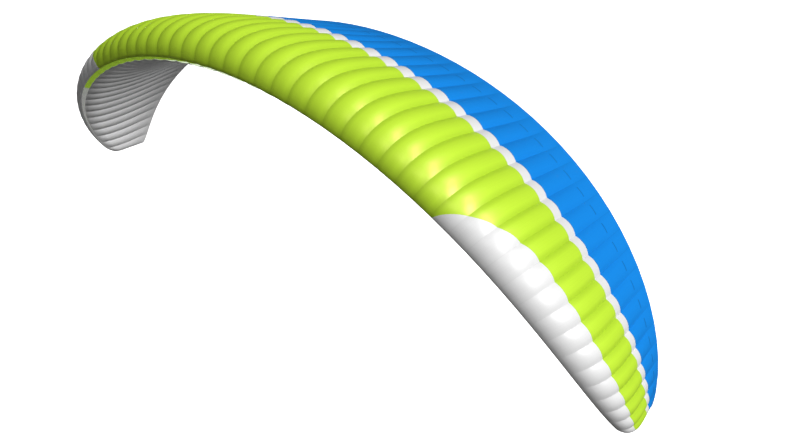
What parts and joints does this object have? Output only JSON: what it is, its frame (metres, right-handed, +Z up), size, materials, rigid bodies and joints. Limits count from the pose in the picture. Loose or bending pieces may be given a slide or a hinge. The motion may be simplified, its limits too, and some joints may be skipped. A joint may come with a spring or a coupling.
{
  "type": "paraglider wing",
  "caption": "Inflated ram-air paraglider canopy in its flying arc: ribbed cells with nose intakes, lime front, pale stripe, blue rear, white nose panels and underside, without lines.",
  "frame": {"origin": "hang point: on the underside seam of the middle rib, 35 percent of the chord behind the leading edge, where the pull of the lines would be centred", "axes": "+X along the span to the wing's own left tip, -Y is the direction of flight with the leading edge in front, +Z up"},
  "size_m": [9.5362, 2.5324, 3.2362],
  "materials": {
    "ripstop_lime": "coated ripstop nylon, satin",
    "ripstop_white": "coated ripstop nylon, satin",
    "ripstop_blue": "coated ripstop nylon, satin",
    "rib_cloth": "stiff resin-coated ripstop, matt"
  },
  "bodies": {
    "root": {"upper_lime": "ripstop_lime", "upper_stripe": "ripstop_white", "upper_blue": "ripstop_blue", "upper_blue_tail": "ripstop_blue", "nose_white_left": "ripstop_white", "nose_white_right": "ripstop_white", "lower_white": "ripstop_white", "rib_00": "rib_cloth", "rib_01": "rib_cloth", "rib_02": "rib_cloth", "rib_03": "rib_cloth", "rib_04": "rib_cloth", "rib_05": "rib_cloth", "rib_06": "rib_cloth", "rib_07": "rib_cloth", "rib_08": "rib_cloth", "rib_09": "rib_cloth", "rib_10": "rib_cloth", "rib_11": "rib_cloth", "rib_12": "rib_cloth", "rib_13": "rib_cloth", "rib_14": "rib_cloth", "rib_15": "rib_cloth", "rib_16": "rib_cloth", "rib_17": "rib_cloth", "rib_18": "rib_cloth", "rib_19": "rib_cloth", "rib_20": "rib_cloth", "rib_21": "rib_cloth", "rib_22": "rib_cloth", "rib_23": "rib_cloth", "rib_24": "rib_cloth", "rib_25": "rib_cloth", "rib_26": "rib_cloth", "rib_27": "rib_cloth", "rib_28": "rib_cloth", "rib_29": "rib_cloth", "rib_30": "rib_cloth", "rib_31": "rib_cloth", "rib_32": "rib_cloth", "rib_33": "rib_cloth", "rib_34": "rib_cloth", "rib_35": "rib_cloth", "rib_36": "rib_cloth", "rib_37": "rib_cloth", "rib_38": "rib_cloth", "rib_39": "rib_cloth", "rib_40": "rib_cloth", "rib_41": "rib_cloth", "rib_42": "rib_cloth", "rib_43": "rib_cloth", "rib_44": "rib_cloth", "rib_45": "rib_cloth", "rib_46": "rib_cloth", "rib_47": "rib_cloth", "rib_48": "rib_cloth", "rib_49": "rib_cloth", "rib_50": "rib_cloth", "rib_51": "rib_cloth", "rib_52": "rib_cloth"}
  },
  "joints": []
}
